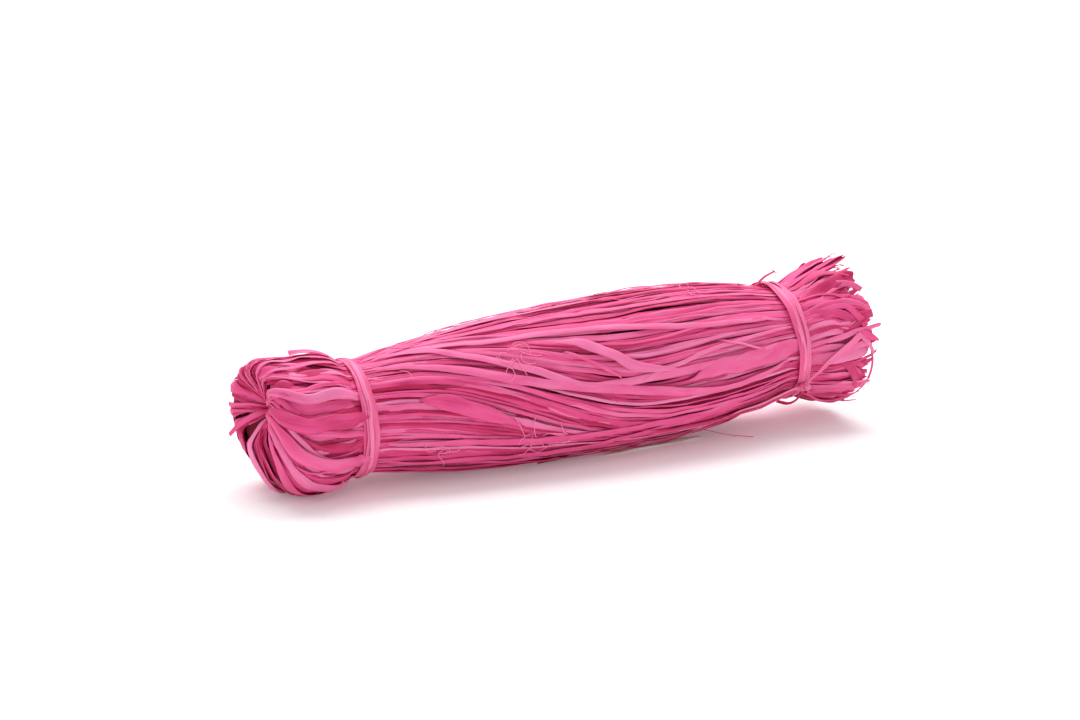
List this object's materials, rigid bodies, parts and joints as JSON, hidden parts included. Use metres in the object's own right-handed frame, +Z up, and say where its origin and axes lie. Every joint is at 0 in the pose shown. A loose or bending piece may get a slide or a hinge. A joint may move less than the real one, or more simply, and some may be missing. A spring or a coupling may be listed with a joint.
{
  "type": "raffia hank",
  "caption": "Hank of hot-pink dyed raffia: flat leaf strips folded over at one end, cut at the other, and bound near both ends with knotted raffia bands.",
  "frame": {"origin": "on the surface that the hank lies on, under the middle of its length and width", "axes": "+X along the hank from the folded end to the cut ends, +Y across it, +Z up"},
  "size_m": [0.2714, 0.062, 0.0648],
  "materials": {
    "dyed_raffia": "satin dyed raffia, finely ribbed along the strip",
    "tie_raffia": "satin dyed raffia, smoother and a little paler",
    "undyed_raffia": "plain straw-coloured raffia"
  },
  "bodies": {
    "hank": {"lock_01": "dyed_raffia", "lock_02": "dyed_raffia", "lock_03": "dyed_raffia", "lock_04": "dyed_raffia", "lock_05": "dyed_raffia", "lock_06": "dyed_raffia", "lock_07": "dyed_raffia", "lock_08": "dyed_raffia", "lock_09": "dyed_raffia", "lock_10": "dyed_raffia", "lock_11": "dyed_raffia", "lock_12": "dyed_raffia", "lock_13": "dyed_raffia", "lock_14": "dyed_raffia", "near_tie": "tie_raffia", "near_tie_knot": "tie_raffia", "far_tie": "tie_raffia", "far_tie_knot": "tie_raffia", "crown_strip": "dyed_raffia", "stray_end": "dyed_raffia", "undyed_strip": "undyed_raffia"},
    "pull_strip": {"pull_strip": "dyed_raffia"},
    "tail_long": {"far_tie_tail_long": "tie_raffia"},
    "tail_short": {"far_tie_tail_short": "tie_raffia"}
  },
  "joints": [
    {"name": "pull_strip_draw", "type": "slide", "parent": "hank", "child": "pull_strip", "axis": [-1, 0, 0], "range_m": [0, 0.17]},
    {"name": "tail_long_lift", "type": "hinge", "parent": "hank", "child": "tail_long", "pos_m": [0.09922, -0.02238, 0.01907], "axis": [-0.1114, -0.5841, 0.804], "range_deg": [0, 45], "stiffness_Nm_per_rad": 0.0002},
    {"name": "tail_short_lift", "type": "hinge", "parent": "hank", "child": "tail_short", "pos_m": [0.10382, -0.02451, 0.02222], "axis": [0.6391, 0.212, -0.7393], "range_deg": [0, 60], "stiffness_Nm_per_rad": 0.0002}
  ]
}
